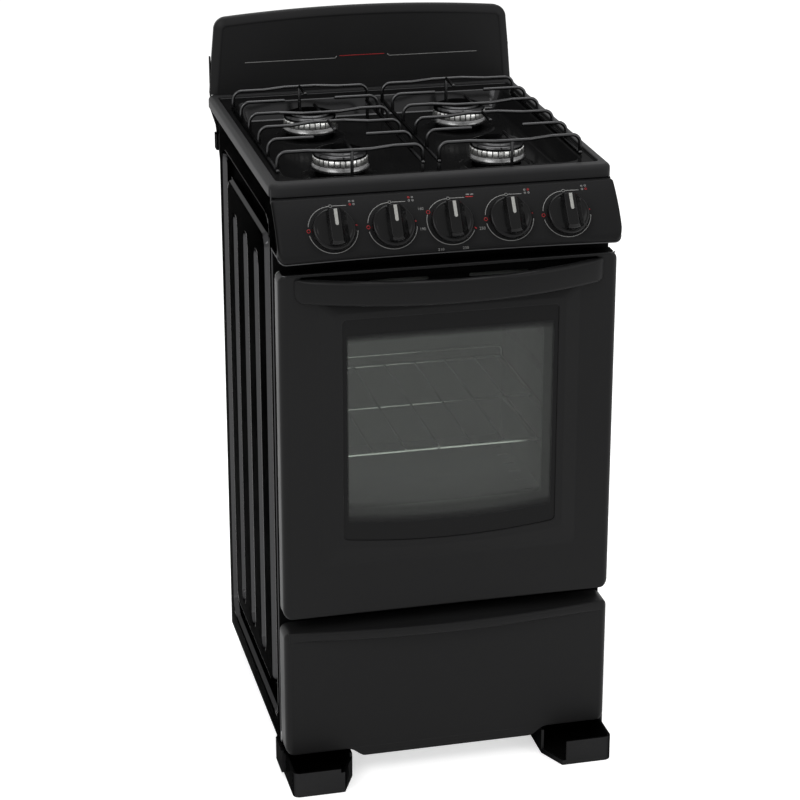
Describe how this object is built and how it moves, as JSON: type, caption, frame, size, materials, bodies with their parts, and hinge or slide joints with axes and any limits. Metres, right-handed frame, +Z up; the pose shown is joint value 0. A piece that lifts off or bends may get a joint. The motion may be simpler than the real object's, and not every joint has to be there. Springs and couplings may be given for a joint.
{
  "type": "freestanding gas range",
  "caption": "Freestanding gas range with wire grates over open burners, push-and-turn knobs, an oven behind a windowed drop-down door and a storage drawer.",
  "frame": {"origin": "on the floor, in the middle of the range's overall width and depth", "axes": "+X to the user's right as they face the range, +Y towards the wall behind it, +Z up"},
  "size_m": [0.5126, 0.657, 1.0665],
  "materials": {
    "cooktop_enamel": "gloss black enamel",
    "side_paint": "satin black paint",
    "panel_paint": "semi-gloss black",
    "door_paint": "semi-gloss black",
    "handle_plastic": "smooth semi-gloss black",
    "knob_plastic": "gloss black",
    "galvanised": "dull galvanised sheet",
    "frame_paint": "matt black",
    "oven_enamel": "grey speckled enamel",
    "wool": "glass wool",
    "tube_steel": "aluminised steel tube",
    "rack_chrome": "bright wire",
    "copper": "copper bulb",
    "brass": "machined brass",
    "burner_aluminium": "cast aluminium",
    "burner_enamel": "gloss black enamel",
    "grate_enamel": "satin black enamel wire",
    "window_glass": "tinted glass with a dark printed border",
    "inner_glass": "clear glass",
    "seal_rubber": "woven heat seal",
    "hinge_steel": "plated steel",
    "foot_plastic": "black moulded plastic",
    "screw_steel": "plated screws"
  },
  "bodies": {
    "range_body": {"side_panel_left": "side_paint", "side_panel_right": "side_paint", "rear_panel": "galvanised", "base_pan": "galvanised", "front_frame": "frame_paint", "oven_cavity": "oven_enamel", "oven_insulation": "wool", "oven_floor_plate": "oven_enamel", "oven_burner": "tube_steel", "thermostat_bulb": "copper", "flue_duct": "galvanised", "cooktop": "cooktop_enamel", "backsplash_front": "cooktop_enamel", "backsplash_back": "cooktop_enamel", "rear_brackets": "side_paint", "control_panel": "panel_paint", "gas_manifold": "tube_steel", "gas_valves": "brass", "gas_inlet": "tube_steel", "supply_tubes": "tube_steel", "burner_heads": "burner_aluminium", "hinge_sockets": "hinge_steel", "drawer_runners": "hinge_steel", "foot_front_left": "foot_plastic", "foot_front_right": "foot_plastic", "foot_rear_left": "foot_plastic", "foot_rear_right": "foot_plastic", "body_screws": "screw_steel"},
    "door": {"door_outer_panel": "door_paint", "door_inner_panel": "oven_enamel", "door_outer_glass": "window_glass", "door_inner_glass": "inner_glass", "door_seal": "seal_rubber", "door_handle": "handle_plastic", "hinge_arms": "hinge_steel"},
    "drawer": {"drawer_front": "door_paint", "drawer_tray": "galvanised"},
    "oven_rack": {"oven_rack": "rack_chrome"},
    "grate_left": {"grate_left": "grate_enamel"},
    "grate_right": {"grate_right": "grate_enamel"},
    "cap_front_left": {"burner_cap_front_left": "burner_enamel"},
    "cap_front_right": {"burner_cap_front_right": "burner_enamel"},
    "cap_rear_left": {"burner_cap_rear_left": "burner_enamel"},
    "cap_rear_right": {"burner_cap_rear_right": "burner_enamel"},
    "collar_1": {"valve_collar_1": "brass"},
    "knob_1": {"valve_stem_1": "hinge_steel", "knob_1": "knob_plastic"},
    "collar_2": {"valve_collar_2": "brass"},
    "knob_2": {"valve_stem_2": "hinge_steel", "knob_2": "knob_plastic"},
    "collar_3": {"valve_collar_3": "brass"},
    "knob_3": {"valve_stem_3": "hinge_steel", "knob_3": "knob_plastic"},
    "collar_4": {"valve_collar_4": "brass"},
    "knob_4": {"valve_stem_4": "hinge_steel", "knob_4": "knob_plastic"},
    "collar_5": {"valve_collar_5": "brass"},
    "knob_5": {"valve_stem_5": "hinge_steel", "knob_5": "knob_plastic"}
  },
  "joints": [
    {"name": "door_hinge", "type": "hinge", "parent": "range_body", "child": "door", "pos_m": [0, -0.2465, 0.2875], "axis": [1, 0, 0], "range_deg": [0, 90], "stiffness_Nm_per_rad": 8, "springref_deg": -11.46},
    {"name": "drawer_slide", "type": "slide", "parent": "range_body", "child": "drawer", "axis": [0, -1, 0], "range_m": [0, 0.35]},
    {"name": "rack_slide", "type": "slide", "parent": "range_body", "child": "oven_rack", "axis": [0, -1, 0], "range_m": [0, 0.018]},
    {"name": "grate_left_lift", "type": "slide", "parent": "range_body", "child": "grate_left", "axis": [0, 0, 1], "range_m": [0, 0.06]},
    {"name": "grate_right_lift", "type": "slide", "parent": "range_body", "child": "grate_right", "axis": [0, 0, 1], "range_m": [0, 0.06]},
    {"name": "cap_front_left_lift", "type": "slide", "parent": "range_body", "child": "cap_front_left", "axis": [0, 0, 1], "range_m": [0, 0.01]},
    {"name": "cap_front_right_lift", "type": "slide", "parent": "range_body", "child": "cap_front_right", "axis": [0, 0, 1], "range_m": [0, 0.01]},
    {"name": "cap_rear_left_lift", "type": "slide", "parent": "range_body", "child": "cap_rear_left", "axis": [0, 0, 1], "range_m": [0, 0.01]},
    {"name": "cap_rear_right_lift", "type": "slide", "parent": "range_body", "child": "cap_rear_right", "axis": [0, 0, 1], "range_m": [0, 0.01]},
    {"name": "knob_1_push", "type": "slide", "parent": "range_body", "child": "collar_1", "axis": [0, 0.8131, -0.5821], "range_m": [0, 0.003], "stiffness_N_per_m": 1500, "springref_m": -0.001},
    {"name": "knob_1_turn", "type": "hinge", "parent": "collar_1", "child": "knob_1", "pos_m": [-0.172, -0.27151, 0.87385], "axis": [0, -0.8131, 0.5821], "range_deg": [0, 270]},
    {"name": "knob_2_push", "type": "slide", "parent": "range_body", "child": "collar_2", "axis": [0, 0.8131, -0.5821], "range_m": [0, 0.003], "stiffness_N_per_m": 1500, "springref_m": -0.001},
    {"name": "knob_2_turn", "type": "hinge", "parent": "collar_2", "child": "knob_2", "pos_m": [-0.086, -0.27151, 0.87385], "axis": [0, -0.8131, 0.5821], "range_deg": [0, 270]},
    {"name": "knob_3_push", "type": "slide", "parent": "range_body", "child": "collar_3", "axis": [0, 0.8131, -0.5821], "range_m": [0, 0.003], "stiffness_N_per_m": 1500, "springref_m": -0.001},
    {"name": "knob_3_turn", "type": "hinge", "parent": "collar_3", "child": "knob_3", "pos_m": [0, -0.27151, 0.87385], "axis": [0, -0.8131, 0.5821], "range_deg": [0, 240]},
    {"name": "knob_4_push", "type": "slide", "parent": "range_body", "child": "collar_4", "axis": [0, 0.8131, -0.5821], "range_m": [0, 0.003], "stiffness_N_per_m": 1500, "springref_m": -0.001},
    {"name": "knob_4_turn", "type": "hinge", "parent": "collar_4", "child": "knob_4", "pos_m": [0.086, -0.27151, 0.87385], "axis": [0, -0.8131, 0.5821], "range_deg": [0, 270]},
    {"name": "knob_5_push", "type": "slide", "parent": "range_body", "child": "collar_5", "axis": [0, 0.8131, -0.5821], "range_m": [0, 0.003], "stiffness_N_per_m": 1500, "springref_m": -0.001},
    {"name": "knob_5_turn", "type": "hinge", "parent": "collar_5", "child": "knob_5", "pos_m": [0.172, -0.27151, 0.87385], "axis": [0, -0.8131, 0.5821], "range_deg": [0, 270]}
  ]
}
